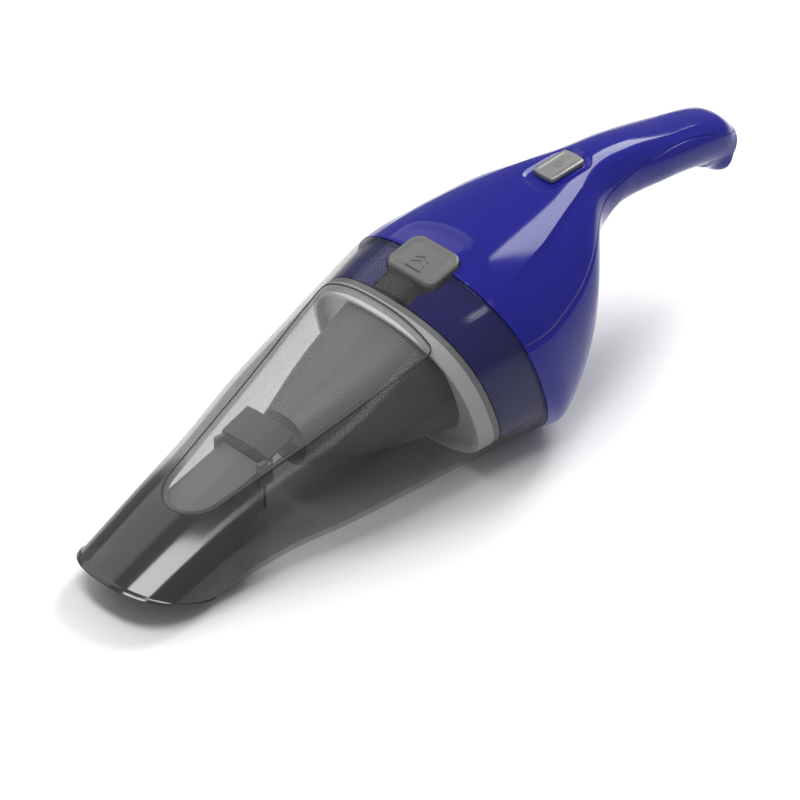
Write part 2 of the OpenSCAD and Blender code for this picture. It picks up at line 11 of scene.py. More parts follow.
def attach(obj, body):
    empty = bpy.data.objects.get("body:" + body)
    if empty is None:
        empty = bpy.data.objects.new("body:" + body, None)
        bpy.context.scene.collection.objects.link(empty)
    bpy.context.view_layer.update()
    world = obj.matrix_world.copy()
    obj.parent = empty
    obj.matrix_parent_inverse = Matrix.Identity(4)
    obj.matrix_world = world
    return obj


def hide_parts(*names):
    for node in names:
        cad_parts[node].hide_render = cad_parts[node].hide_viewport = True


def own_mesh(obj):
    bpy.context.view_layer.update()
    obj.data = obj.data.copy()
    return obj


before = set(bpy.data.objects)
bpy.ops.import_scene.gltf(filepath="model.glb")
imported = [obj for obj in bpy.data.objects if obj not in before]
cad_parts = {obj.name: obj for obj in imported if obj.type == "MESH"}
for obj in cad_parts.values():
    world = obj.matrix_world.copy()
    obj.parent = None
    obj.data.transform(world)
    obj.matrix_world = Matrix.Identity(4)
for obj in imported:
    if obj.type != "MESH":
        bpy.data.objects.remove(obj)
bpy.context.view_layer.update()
MM = 0.001

# Cross-sections of the outer form in millimetres, from the nozzle lip to the handle end. Each row holds
# the top point (x, z), the bottom point (x, z), the half width, the roundness exponent of the outline
# and the height of the widest place as a share of the section.
FORM = np.array([
    [-209, 20, -154, -0.5, 33, 2.4, 0.46],
    [-167, 38, -136, 0, 36, 2.5, 0.46],
    [-124, 54, -114, 2, 41, 2.5, 0.46],
    [-80, 70, -80, 3, 50, 2.5, 0.46],
    [-28, 94, 4, 3, 58, 2.5, 0.43],
    [2, 103, 36, 0.5, 62, 2.5, 0.47],
    [28, 108, 50, -0.8, 61, 2.5, 0.47],
    [72, 113, 66, 20, 50, 2.4, 0.48],
    [106, 116, 82, 54, 26, 2.3, 0.49],
    [133, 114, 110, 81, 19, 2.3, 0.49],
    [167, 107, 152, 82, 18, 2.3, 0.5],
    [197, 100, 186, 76, 16, 2.3, 0.5],
    [209, 90, 197, 70, 14, 2.3, 0.5]])
# Rows of the table at the nozzle lip, the filter ring, the bowl's rear edge and the handle end
LIP, RING, SKIRT, TAIL = 0, 4, 5, 12
COLLAR_FRONT = RING + 0.12
SHELL_FRONT = SKIRT + 0.02

# The filter screen, front, middle and rear
SCREEN_FORM = np.array([
    [-92, 58, -90, 30, 15, 2.5, 0.5],
    [-60, 73, -50, 20, 27, 2.5, 0.5],
    [-27, 86, -1, 12, 36, 2.5, 0.5]])

# Side view of the parting line between the two body shells
PARTING = np.array([
    [-60, 75], [15, 75], [50, 82], [80, 95],
    [110, 102.5], [140, 104.5], [175, 101], [214, 86]])
# Plan of the shoulder crease: x and distance from the middle
CREASE = np.array([
    [7, 39], [32, 36.6], [52, 31.5], [73, 24], [90, 18],
    [106, 14], [126, 13], [144, 12], [168, 9], [196, 8]])

# Sizes and places in millimetres and angles in degrees. Names with ROW, and the lip bead's end and fade, are
# in rows of FORM.
BOWL_WALL = 2.2
LIP_BEAD = 0.8
LIP_BEAD_END, LIP_BEAD_FADE = 0.05, 0.03
SHELL_WALL = 2.4
COLLAR_INSET = 3
PARTING_HALF_GAP = 0.11
# Rounding of the handle's end: how far it comes in, how far it stands out, and the end's half size
DOME_DEPTH, DOME_HEIGHT, END_REACH = 3, 1.2, 13

# Window: round tip in front, square rear, insets of its ledge and of the pane's two faces
WINDOW_TIP_X, WINDOW_TIP_RADIUS = -146.5, 17.5
WINDOW_REAR_X, WINDOW_REAR_HALF, WINDOW_CORNER = -33, 35, 2.5
WINDOW_FRONT_ROW, WINDOW_REAR_ROW = 0.5, RING + 0.3
WINDOW_LEDGE, PANE_INSET, PANE_BACK = 1.5, 0.1, 1.3
WINDOW_LOW, WINDOW_HIGH = 20, 130

# Release button, with the pocket, the bowl's notch and the tongue's slot round it, and its spring
BUTTON_X, BUTTON_LENGTH, BUTTON_WIDTH, BUTTON_CORNER = 0.5, 23, 32.6, 6
BUTTON_BASE, BUTTON_RISE = 94, 1.5
BUTTON_LOW, BUTTON_HIGH = 80, 125
NOTCH_X, NOTCH_LENGTH = BUTTON_X + 15, BUTTON_LENGTH + 31.2
NOTCH_WIDTH, NOTCH_HIGH = BUTTON_WIDTH + 1.2, 130
TONGUE_SLOT_FRONT, TONGUE_SLOT_HALF, TONGUE_SLOT_HIGH = -32, 12.2, 110
SPRING_FOOT, SPRING_RADIUS, SPRING_WIRE, SPRING_TURNS = 86, 3.6, 0.45, 4

# Switch, charging inlet, exhaust slots, and the screws' recesses as x, y and seat height
SWITCH_POS, SWITCH_TILT = (92, 0, 114.9), -4
SWITCH_LENGTH, SWITCH_WIDTH = 23.6, 14
SOCKET_POS, SOCKET_TILT = (202.5, 0, 80), 118.8
INLET_RADIUS = 5
VENT_X, VENT_LENGTH, VENT_WIDTH, VENT_PITCH, VENT_LAST = 77, 46, 3, 8, 24
SCREW_RECESS = 3
SCREWS = ((46, 43, 68), (46, -43, 68), (75, 27.5, 80), (75, -27.5, 80), (178, 0, 87))

# Filter: insets of the ring's outer face, inner face and web, then the screen's wall and the pleats
RING_INSET, RING_INNER, RING_WEB, RING_CORNER = 2.7, 5.2, 8, 0.5
SCREEN_WALL, PLEATS, PLEAT_DEPTH = 0.8, 36, 0.7


# ---------- outlines and lofts ----------

def section_at(table, t):
    """Section at place t, smoothly between the rows of a table."""
    slope = np.gradient(table, axis=0)
    i = int(min(max(math.floor(t), 0), len(table) - 2))
    u = t - i
    return ((2 * u**3 - 3 * u**2 + 1) * table[i] + (u**3 - 2 * u**2 + u) * slope[i]
            + (3 * u**2 - 2 * u**3) * table[i + 1] + (u**3 - u**2) * slope[i + 1])


def signed_pow(v, e):
    """Power that keeps the sign."""
    return np.sign(v) * np.abs(v) ** e


def outline(table, t, inset, count):
    """Points in metres round the section at place t, set in by a distance in millimetres."""
    s = section_at(table, t)
    top, bottom = np.array(s[0:2]), np.array(s[2:4])
    up = (top - bottom) / np.linalg.norm(top - bottom)
    top, bottom = top - up * inset, bottom + up * inset
    middle = bottom + (top - bottom) * s[6]
    a = 2 * math.pi * np.arange(count) / count
    y = (s[4] - inset) * signed_pow(np.cos(a), 2 / s[5])
    r = signed_pow(np.sin(a), 2 / s[5])[:, None]
    p = middle + np.where(r >= 0, (top - middle) * r, (middle - bottom) * r)
    return np.column_stack([p[:, 0], y, p[:, 1]]) * MM


def new_object(name, points, faces):
    """Closed mesh object with its faces turned outwards."""
    mesh = bpy.data.meshes.new(name)
    mesh.from_pydata([tuple(p) for p in points], [], faces)
    bm = bmesh.new()
    bm.from_mesh(mesh)
    bmesh.ops.recalc_face_normals(bm, faces=bm.faces)
    bm.to_mesh(mesh)
    bm.free()
    obj = bpy.data.objects.new(name, mesh)
    bpy.context.scene.collection.objects.link(obj)
    return obj


def loft(name, loops, ring=False):
    """Skin through closed loops. A ring joins its last loop to its first; otherwise the ends are capped."""
    n, count = len(loops[0]), len(loops)
    faces = []
    for i in range(count if ring else count - 1):
        a, b = i * n, (i + 1) % count * n
        faces += [(a + k, a + (k + 1) % n, b + (k + 1) % n, b + k) for k in range(n)]
    if not ring:
        faces += [tuple(range(n)), tuple(range((count - 1) * n, count * n))]
    return new_object(name, np.concatenate(loops), faces)


def smooth(obj, angle=35):
    """Smooth shading with sharp edges past an angle."""
    obj.data.shade_smooth()
    obj.data.set_sharp_from_angle(angle=math.radians(angle))
    return obj


def convex(points):
    """Convex hull of plan points, anticlockwise."""
    points = sorted(set((round(float(x), 5), round(float(y), 5)) for x, y in points))
    halves = []
    for row in (points, points[::-1]):
        half = []
        for p in row:
            while len(half) > 1 and ((half[-1][0] - half[-2][0]) * (p[1] - half[-2][1])
                                     - (half[-1][1] - half[-2][1]) * (p[0] - half[-2][0])) <= 0:
                half.pop()
            half.append(p)
        halves += half[:-1]
    return np.array(halves)


def circle(x, y, r, count=48):
    """Plan points of a circle."""
    a = 2 * math.pi * np.arange(count) / count
    return np.column_stack([x + r * np.cos(a), y + r * np.sin(a)])


def round_rect(length, width, r, x=0.0, y=0.0):
    """Plan of a rectangle with round corners, round a middle."""
    return convex(np.concatenate([
        circle(x + i * (length / 2 - r), y + j * (width / 2 - r), r) for i in (-1, 1) for j in (-1, 1)]))


def window_plan(grow):
    """Plan outline of the window, grown by a distance."""
    rear = [circle(WINDOW_REAR_X + i, j * WINDOW_REAR_HALF, WINDOW_CORNER + grow, 24)
            for i in (-1, 1) for j in (-1, 1)]
    return convex(np.concatenate([circle(WINDOW_TIP_X, 0, WINDOW_TIP_RADIUS + grow, 96), *rear]))


def prism(name, plan, low, high, place=None):
    """Upright prism over a plan in millimetres, moved by a matrix."""
    loops = [np.column_stack([plan, np.full(len(plan), z)]) * MM for z in (low, high)]
    obj = loft(name, loops)
    if place is not None:
        obj.data.transform(place)
    return obj


def box(name, low, high):
    """Box between two corners in millimetres."""
    (x0, y0, z0), (x1, y1, z1) = low, high
    return loft(name, [np.array([[x0, y0, z], [x1, y0, z], [x1, y1, z], [x0, y1, z]]) * MM for z in (z0, z1)])


def applied(obj):
    """Makes an object's modifiers part of its mesh."""
    bpy.context.view_layer.update()
    mesh = bpy.data.meshes.new_from_object(obj.evaluated_get(bpy.context.evaluated_depsgraph_get()))
    obj.modifiers.clear()
    mesh.name = obj.name
    obj.data = mesh
    return obj


def boolean(obj, others, operation="DIFFERENCE"):
    """Cuts an object with others, or joins or keeps what they share, and removes them."""
    for other in others:
        mod = obj.modifiers.new("boolean", "BOOLEAN")
        mod.object = other
        mod.operation = operation
        mod.solver = "MANIFOLD"
    applied(obj)
    for other in others:
        bpy.data.objects.remove(other)
    return obj


def restore_normals(obj, tree, normals_of):
    """Gives faces that still lie on an uncut surface that surface's own smooth normals."""
    search, on_surface, alike = 0.0001, 0.00003, 0.85
    mesh = obj.data
    smooth(obj)
    bpy.context.view_layer.update()
    corner = [Vector(n.vector) for n in mesh.corner_normals]
    for face in mesh.polygons:
        for li in face.loop_indices:
            p = mesh.vertices[mesh.loops[li].vertex_index].co
            place, _, index, distance = tree.find_nearest(p, search)
            if index is None or distance > on_surface:
                continue
            n = normals_of(index, place)
            if n.dot(face.normal) > alike:
                corner[li] = n
    mesh.normals_split_custom_set(corner)


def surface_of(obj):
    """A search tree over a mesh, and a function for its smooth normal at a place on a face."""
    mesh = obj.data.copy()
    mesh.shade_smooth()
    points = [v.co.copy() for v in mesh.vertices]
    normals = [v.normal.copy() for v in mesh.vertices]
    faces = [tuple(f.vertices) for f in mesh.polygons]
    tree = BVHTree.FromPolygons(points, faces)

    def normal_at(index, place):
        total = Vector()
        for i in faces[index]:
            total += normals[i] / ((points[i] - place).length + 1e-7)
        return total.normalized()

    return tree, normal_at


def steps_between(low, high, count):
    """List of numbers from one end to the other, in equal steps."""
    return [low + (high - low) * i / count for i in range(count + 1)]


def edge_loops(t, inset, wall, radius, per_mm, count):
    """Loops that round the end of a wall at place t, from its outer face to its inner face.
    per_mm is how much t changes in a millimetre towards the end."""
    loops = []
    outer, inner = steps_between(0, 90, 4), steps_between(90, 0, 4)
    for angles, face, inward in ((outer, inset, 1), (inner, inset + wall, -1)):
        for angle in angles:
            a = math.radians(angle)
            place = t - per_mm * radius * (1 - math.sin(a))
            loops.append(outline(FORM, place, face + inward * radius * (1 - math.cos(a)), count))
    return loops


def smoothstep(v):
    """Smooth rise from 0 at 0 to 1 at 1."""
    v = np.clip(v, 0, 1)
    return v * v * (3 - 2 * v)


def curve(points, steps):
    """Points of a smooth curve through a list of points."""
    return np.array([section_at(points, i + j / steps)
                     for i in range(len(points) - 1) for j in range(steps)])


PARTING_CURVE = curve(PARTING, 8)
crown_form = loft("crown_form", [outline(FORM, t, 0, 160) for t in steps_between(LIP, TAIL, 240)])
crown_tree, _ = surface_of(crown_form)
bpy.data.objects.remove(crown_form)


def crown(x, y):
    """Height in millimetres of the outer form's top over a plan point in millimetres."""
    above = 200
    place, _, _, _ = crown_tree.ray_cast(Vector((x, y, above)) * MM, Vector((0, 0, -1)))
    return place.z / MM


# ---------- materials ----------

CLOUD_SCALE = 38
BUMP_STRENGTH = 0.6
SMOOTHEST = 0.02
CLEAR_EDGE, CLEAR_BLEND, DENSEST = 0.3, 0.3, 0.97


def surface(name, color, rough, metallic=0.0, alpha=1.0, mottle=0.06, grain=2600.0, depth=0.00002,
            spread=0.05):
    """Procedural material: colour and roughness vary slightly over the object, with a fine moulded grain.
    Below an alpha of 1 it is clear, and less so where the surface turns away. depth is in metres."""
    mat = bpy.data.materials.new(name)
    mat.use_nodes = True
    nodes, links = mat.node_tree.nodes, mat.node_tree.links
    shader = nodes["Principled BSDF"]
    shader.inputs["Metallic"].default_value = metallic
    place = nodes.new("ShaderNodeTexCoord")
    cloud = nodes.new("ShaderNodeTexNoise")
    cloud.inputs["Scale"].default_value = CLOUD_SCALE
    cloud.inputs["Detail"].default_value = 3
    links.new(place.outputs["Object"], cloud.inputs["Vector"])
    tone = nodes.new("ShaderNodeMix")
    tone.data_type = "RGBA"
    tone.inputs["A"].default_value = (*[c * (1 - mottle) for c in color], 1)
    tone.inputs["B"].default_value = (*[min(c * (1 + mottle), 1) for c in color], 1)
    links.new(cloud.outputs["Fac"], tone.inputs["Factor"])
    links.new(tone.outputs["Result"], shader.inputs["Base Color"])
    fine = nodes.new("ShaderNodeTexNoise")
    fine.inputs["Scale"].default_value = grain
    fine.inputs["Detail"].default_value = 2
    links.new(place.outputs["Object"], fine.inputs["Vector"])
    wear = nodes.new("ShaderNodeMapRange")
    wear.inputs["To Min"].default_value = max(rough - spread, SMOOTHEST)
    wear.inputs["To Max"].default_value = rough + spread
    links.new(fine.outputs["Fac"], wear.inputs["Value"])
    links.new(wear.outputs["Result"], shader.inputs["Roughness"])
    if depth > 0:
        bump = nodes.new("ShaderNodeBump")
        bump.inputs["Distance"].default_value = depth
        bump.inputs["Strength"].default_value = BUMP_STRENGTH
        links.new(fine.outputs["Fac"], bump.inputs["Height"])
        links.new(bump.outputs["Normal"], shader.inputs["Normal"])
    if alpha < 1:
        facing = nodes.new("ShaderNodeLayerWeight")
        facing.inputs["Blend"].default_value = CLEAR_BLEND
        see = nodes.new("ShaderNodeMapRange")
        see.inputs["To Min"].default_value = alpha
        see.inputs["To Max"].default_value = min(alpha + CLEAR_EDGE, DENSEST)
        links.new(facing.outputs["Facing"], see.inputs["Value"])
        links.new(see.outputs["Result"], shader.inputs["Alpha"])
    return mat


def denser_forward(mat, start, full, amount):
    """Makes a clear material denser towards the nozzle: the least alpha rises from 0 at start to
    amount at full, two places along x in metres."""
    nodes, links = mat.node_tree.nodes, mat.node_tree.links
    shader = nodes["Principled BSDF"]
    thin = shader.inputs["Alpha"].links[0].from_socket
    place = next(n for n in nodes if n.type == "TEX_COORD")
    split = nodes.new("ShaderNodeSeparateXYZ")
    links.new(place.outputs["Object"], split.inputs["Vector"])
    ramp = nodes.new("ShaderNodeMapRange")
    ramp.interpolation_type = "SMOOTHSTEP"
    ramp.inputs["From Min"].default_value = start
    ramp.inputs["From Max"].default_value = full
    ramp.inputs["To Max"].default_value = amount
    links.new(split.outputs["X"], ramp.inputs["Value"])
    dense = nodes.new("ShaderNodeMath")
    dense.operation = "MAXIMUM"
    links.new(thin, dense.inputs[0])
    links.new(ramp.outputs["Result"], dense.inputs[1])
    links.new(dense.outputs["Value"], shader.inputs["Alpha"])


def paint(obj, mat):
    """Gives an object one material."""
    obj.data.materials.clear()
    obj.data.materials.append(mat)
    return obj


BLUE = surface("blue_moulded", (0.013, 0.013, 0.2), 0.1, mottle=0.05, spread=0.03, depth=0.000001)
BLUE.node_tree.nodes["Principled BSDF"].inputs["Specular IOR Level"].default_value = 0.24
SMOKE = surface("smoke_clear", (0.036, 0.035, 0.036), 0.12, alpha=0.2,
                mottle=0.04, grain=60, spread=0.015, depth=0)
denser_forward(SMOKE, -0.12, -0.16, 0.9)
PANE = surface("window_clear", (0.3, 0.295, 0.305), 0.05, alpha=0.07,
               mottle=0.03, grain=60, spread=0.015, depth=0)
SILVER = surface("switch_satin", (0.24, 0.24, 0.235), 0.34, metallic=0.5, mottle=0.06, depth=0.000004)
GREY = surface("grey_satin", (0.115, 0.115, 0.113), 0.36, mottle=0.06, depth=0.000006)
DUCT = surface("duct_matte", (0.1, 0.1, 0.102), 0.45, mottle=0.05, depth=0.000006)
HOOD = surface("hood_matte", (0.03, 0.03, 0.031), 0.4, mottle=0.08, depth=0.000006)
BLACK = surface("black_moulded", (0.022, 0.022, 0.023), 0.45, mottle=0.12)
RUBBER = surface("rubber_matte", (0.012, 0.012, 0.012), 0.65, mottle=0.1)
RING_GREY = surface("ring_satin", (0.85, 0.85, 0.86), 0.35, mottle=0.03, depth=0.000004)
SEAL_GREY = surface("seal_silicone", (0.34, 0.33, 0.35), 0.5, mottle=0.05)
CLOTH = surface("filter_cloth", (0.66, 0.65, 0.61), 0.85, mottle=0.08, grain=1500, depth=0.0001)
STEEL = surface("steel_plain", (0.56, 0.56, 0.57), 0.28, metallic=1.0, mottle=0.06, depth=0.000004)
COPPER_BRONZE = surface("copper_windings", (0.5, 0.24, 0.11), 0.4, metallic=1.0, mottle=0.12, grain=900)
FERRITE = surface("ferrite", (0.05, 0.05, 0.055), 0.6, mottle=0.15)
CREAM = surface("cream_plastic", (0.66, 0.64, 0.57), 0.45)
WRAP = surface("cell_wrap", (0.03, 0.19, 0.1), 0.22, mottle=0.06, depth=0.000004)
BOARD = surface("board_green", (0.015, 0.1, 0.045), 0.35, mottle=0.2, grain=700, depth=0.00005)
WIRE = surface("wire_cover", (0.33, 0.02, 0.02), 0.4, mottle=0.08)
FLOOR = surface("pale_floor", (0.88, 0.88, 0.88), 0.6, mottle=0.004, grain=90, depth=0.000001)


# ---------- body shells ----------

def half_outline(t, inset):
    """Points from the crest down one side to the belly, with rows that follow the crease and the parting
    line, how far each lies past the crease, and how far from the parting line."""
    quarter = 360
    to_crease, to_parting, to_belly = 40, 26, 42
    crease_gap, groove_gap = 0.5, 0.45
    dense = outline(FORM, t, inset, 4 * quarter)[quarter:3 * quarter + 1] / MM
    step = np.linalg.norm(np.diff(dense, axis=0), axis=1)
    run = np.concatenate([[0], np.cumsum(step)])
    crease_y = np.interp(dense[:, 0], CREASE[:, 0], CREASE[:, 1])
    at_crease = run[np.argmax(-dense[:, 1] - crease_y > 0)]
    part_z = np.interp(dense[:, 0], PARTING_CURVE[:, 0], PARTING_CURVE[:, 1])
    at_part = run[np.argmax(part_z - dense[:, 2] > 0)]
    at_part = min(max(at_part, at_crease + 3), run[-1] - 2)
    places = np.concatenate([
        np.linspace(0, at_crease, to_crease + 1),
        np.linspace(at_crease + crease_gap, at_part - groove_gap, to_parting),
        [at_part],
        np.linspace(at_part + groove_gap, run[-1], to_belly)])
    points = np.column_stack([np.interp(places, run, dense[:, i]) for i in range(3)])
    return points, places - at_crease, np.abs(places - at_part)


def body_outline(t, inset):
    """Whole outline with its distance past the crease and its distance from the parting line."""
    points, past, apart = half_outline(t, inset)
    other = points[-2:0:-1] * [1, -1, 1]
    return (np.concatenate([points, other]), np.concatenate([past, past[-2:0:-1]]),
            np.concatenate([apart, apart[-2:0:-1]]))


def rounded_rect_depth(x, y, half_x, half_y, r):
    """Distance inside a round-cornered rectangle's edge, negative outside."""
    dx, dy = np.abs(x) - (half_x - r), np.abs(y) - (half_y - r)
    return r - np.hypot(np.maximum(dx, 0), np.maximum(dy, 0)) - np.minimum(np.maximum(dx, dy), 0)


def body_relief(p, past, apart):
    """How far the surface moves outwards, in millimetres: crease, scoop round the button, dish round the
    switch, lip at the handle end and groove along the parting line."""
    scoop_depth, scoop_x, scoop_radius, scoop_half = 1.1, -38, 63, 18
    dish_depth, dish_x, dish_half_x, dish_half_y, dish_corner = 1.3, 90.5, 18.5, 11.5, 9
    end_lip, end_lip_front, end_lip_rear = 2.6, 183.5, 202
    groove, groove_near = 0.35, 0.2
    crease_steepness = 2.6
    x, y, z = p[..., 0], p[..., 1], p[..., 2]
    fade = smoothstep((x - 6) / 30) * (1 - smoothstep((x - 178) / 20))
    spread = np.interp(x, [50, 100, 150], [17, 9, 6])
    drop = np.interp(x, [20, 60, 100, 150], [1.6, 2.6, 1.4, 0.9])
    s = np.maximum(past, 0)
    relief = -drop * fade * (1 - np.exp(-s / crease_steepness)) * np.exp(-s / spread)
    top = smoothstep((z - 84) / 6)
    near = 1 - smoothstep((np.abs(y) - scoop_half) / 12)
    relief -= scoop_depth * top * near * smoothstep((scoop_radius - np.hypot(x - scoop_x, y)) / 6)
    in_dish = rounded_rect_depth(x - dish_x, y, dish_half_x, dish_half_y, dish_corner)
    relief -= dish_depth * top * smoothstep(in_dish / 3)
    below = smoothstep((np.interp(x, [180, 210], [84, 78]) - z) / 8)
    relief += end_lip * below * smoothstep((x - end_lip_front) / 4) * (1 - smoothstep((x - end_lip_rear) / 8))
    relief -= groove * (apart < groove_near)
    return relief


def displaced(rows, relief):
    """Moves a grid of outlines along its own outward normals."""
    along = np.gradient(rows, axis=0)
    round_it = np.roll(rows, -1, axis=1) - np.roll(rows, 1, axis=1)
    normal = np.cross(along, round_it)
    normal /= np.linalg.norm(normal, axis=2, keepdims=True) + 1e-12
    outward = rows - rows.mean(axis=1, keepdims=True)
    normal *= np.sign((normal * outward).sum(axis=(1, 2), keepdims=True))
    return rows + normal * relief[..., None]


def body_solid():
    """Hollow blue body with its collar, before it is split at the parting line."""
    shown = [body_outline(t, 0) for t in steps_between(SHELL_FRONT, TAIL, 210)]
    rows = np.array([o[0] for o in shown])
    relief = body_relief(rows, np.array([o[1] for o in shown]), np.array([o[2] for o in shown]))
    fade_in = np.array([0.0, 0.6])
    relief[:2] *= fade_in[:, None]
    rows = displaced(rows, relief)
    end, middle = rows[-1], rows[-1].mean(axis=0)
    tail_normal = np.array([math.sin(math.radians(SOCKET_TILT)), 0, math.cos(math.radians(SOCKET_TILT))])
    dome = []
    for a in (20, 40, 60, 80, 90):
        scale = 1 - DOME_DEPTH * (1 - math.cos(math.radians(a))) / END_REACH
        rise = tail_normal * DOME_HEIGHT * math.sin(math.radians(a))
        dome.append(middle + (end - middle) * scale + rise)
    dome += [middle + (dome[-1] - middle) * k + tail_normal * 0.1 for k in (0.8, 0.5, 0.2, 0.03)]
    collar = [body_outline(t, COLLAR_INSET)[0] for t in steps_between(COLLAR_FRONT, SHELL_FRONT, 20)]
    step = [body_outline(SHELL_FRONT, inset)[0] for inset in (2.4, 1.6, 0.8, 0.3)]
    collar_inner = COLLAR_INSET + SHELL_WALL - 0.2
    inner = [body_outline(t, SHELL_WALL)[0] for t in steps_between(TAIL - 0.2, SKIRT + 0.14, 50)]
    inner += [body_outline(t, collar_inner)[0] for t in steps_between(SKIRT + 0.1, COLLAR_FRONT, 10)]
    first = inner[0].mean(axis=0)
    cap = [first + (inner[0] - first) * k for k in (0.05, 0.6)]
    loops = cap + inner + collar + step + list(rows) + dome
    return loft("body_solid", [loop * MM for loop in loops])


def side_of_parting(name, upper):
    """Solid over or under the parting line, half a gap away from it."""
    front, rear, half_width = -70, 240, 100
    gap = PARTING_HALF_GAP if upper else -PARTING_HALF_GAP
    line = [(x, z + gap) for x, z in PARTING_CURVE]
    far = 220 if upper else -60
    side = np.array(line + [(rear, line[-1][1]), (rear, far), (front, far), (front, line[0][1])])
    loops = [np.column_stack([side[:, 0], np.full(len(side), y), side[:, 1]]) * MM
             for y in (-half_width, half_width)]
    return loft(name, loops)


def button_plan(grow):
    """Plan of the release button, grown by a distance."""
    return round_rect(BUTTON_LENGTH + 2 * grow, BUTTON_WIDTH + 2 * grow, BUTTON_CORNER + grow, BUTTON_X)


def placed(position, tilt):
    """Matrix that tilts about Y and then moves to a place."""
    return Matrix.Translation(Vector(position) * MM) @ Matrix.Rotation(math.radians(tilt), 4, "Y")


def above_floor():
    """Space over the floor, larger than the object."""
    return box("above_floor", (-260, -100, 0), (260, 100, 200))


def top_cutters():
    """Button pocket, the tongue's way out to the front, and the slot under the switch."""
    slot = round_rect(13.2, 4.2, 1, x=-3)
    return [
        prism("pocket", button_plan(0.5), BUTTON_LOW, BUTTON_HIGH),
        box("tongue_slot", (TONGUE_SLOT_FRONT, -TONGUE_SLOT_HALF, BUTTON_LOW),
            (BUTTON_X, TONGUE_SLOT_HALF, TONGUE_SLOT_HIGH)),
        prism("slot", slot, -10, 4, placed(SWITCH_POS, SWITCH_TILT))]


def bottom_cutters():
    """Exhaust slots, screw recesses and the charging inlet."""
    cutters = []
    for y in range(-VENT_LAST, VENT_LAST + 1, VENT_PITCH):
        cutters.append(prism("vent", round_rect(VENT_LENGTH, VENT_WIDTH, 1.4, VENT_X, y), 16, 38))
    for x, y, seat in SCREWS:
        cutters.append(prism("recess", circle(x, y, SCREW_RECESS), -5, seat))
    cutters.append(prism("inlet", circle(0, 0, INLET_RADIUS), -15, 12, placed(SOCKET_POS, SOCKET_TILT)))
    return cutters


def make_shells():
    """Upper and lower body shell, cut from one solid along the parting line."""
    solid = body_solid()
    tree, normal_at = surface_of(solid)
    for name, upper in (("top_shell", True), ("bottom_shell", False)):
        shell = bpy.data.objects.new(name, solid.data.copy())
        bpy.context.scene.collection.objects.link(shell)
        boolean(shell, [side_of_parting("side", upper)], "INTERSECT")
        cutters = top_cutters() if upper else bottom_cutters()
        boolean(shell, cutters)
        boolean(shell, [above_floor()], "INTERSECT")
        restore_normals(shell, tree, normal_at)
        paint(shell, BLUE)
        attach(shell, "body")
        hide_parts("upper_shell" if upper else "lower_shell")
    bpy.data.objects.remove(solid)


# ---------- dust bowl ----------

def bowl_solid():
    """Hollow bowl with a bead round its lip, before anything is cut out of it."""
    count = 360
    places = np.concatenate([
        steps_between(LIP + 0.022, LIP + 0.12, 24),
        steps_between(LIP + 0.13, SKIRT - 0.03, 160)])
    bead = -LIP_BEAD * (1 - smoothstep((places - LIP - LIP_BEAD_END) / LIP_BEAD_FADE))
    outer = [outline(FORM, t, inset, count) for t, inset in zip(places, bead)]
    inner = [outline(FORM, t, BOWL_WALL, count) for t in steps_between(SKIRT - 0.03, LIP + 0.03, 160)]
    skirt_end = edge_loops(SKIRT, 0, BOWL_WALL, radius=0.6, per_mm=0.03, count=count)
    lip_end = edge_loops(LIP, -LIP_BEAD, BOWL_WALL + LIP_BEAD, radius=0.8, per_mm=-0.024, count=count)
    return loft("bowl_solid", outer + skirt_end + inner + lip_end[::-1], ring=True)


def form_solid(name, t0, t1, inset, rows, count):
    """Solid with the outer form's shape between two places, set in by a distance."""
    return loft(name, [outline(FORM, t, inset, count) for t in steps_between(t0, t1, rows)])


def make_bowl():
    """Smoke-tinted bowl with a ledge for the window, an opening behind it and a notch for the button."""
    ledge_gap, ledge_width = 0.2, 3
    bowl = bowl_solid()
    bowl.name = bowl.data.name = "bowl_shell"
    tree, normal_at = surface_of(bowl)
    core = form_solid("core", WINDOW_FRONT_ROW, WINDOW_REAR_ROW, WINDOW_LEDGE, 170, 480)
    recess = boolean(prism("recess", window_plan(ledge_gap), WINDOW_LOW, WINDOW_HIGH), [core])
    opening = prism("opening", window_plan(-ledge_width), WINDOW_LOW, WINDOW_HIGH)
    plan = round_rect(NOTCH_LENGTH, NOTCH_WIDTH, BUTTON_CORNER, NOTCH_X)
    notch = prism("notch", plan, BUTTON_LOW, NOTCH_HIGH)
    boolean(bowl, [recess, opening, notch])
    boolean(bowl, [above_floor()], "INTERSECT")
    restore_normals(bowl, tree, normal_at)
    paint(bowl, SMOKE)
    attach(bowl, "bowl")
    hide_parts("dust_bowl")


def make_window_gap_shade():
    """Black band along the window's edge, just proud of the bowl: painted shade standing in for the gap where
    the window is set into the bowl.
    """
    proud, deep, outside, inside = 0.07, 0.5, 0.3, 0.25
    gap_shade = form_solid("window_gap_shade", WINDOW_FRONT_ROW - 0.05, WINDOW_REAR_ROW + 0.05, -proud, 130, 320)
    boolean(gap_shade, [form_solid("core", WINDOW_FRONT_ROW - 0.1, WINDOW_REAR_ROW + 0.1, deep, 110, 240)])
    boolean(gap_shade, [prism("outside", window_plan(outside), WINDOW_LOW, WINDOW_HIGH)], "INTERSECT")
    boolean(gap_shade, [prism("inside", window_plan(-inside), WINDOW_LOW, WINDOW_HIGH)])
    # The band is painted black as painted shade for the gap round the window.
    paint(smooth(gap_shade), BLACK)
    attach(gap_shade, "bowl")


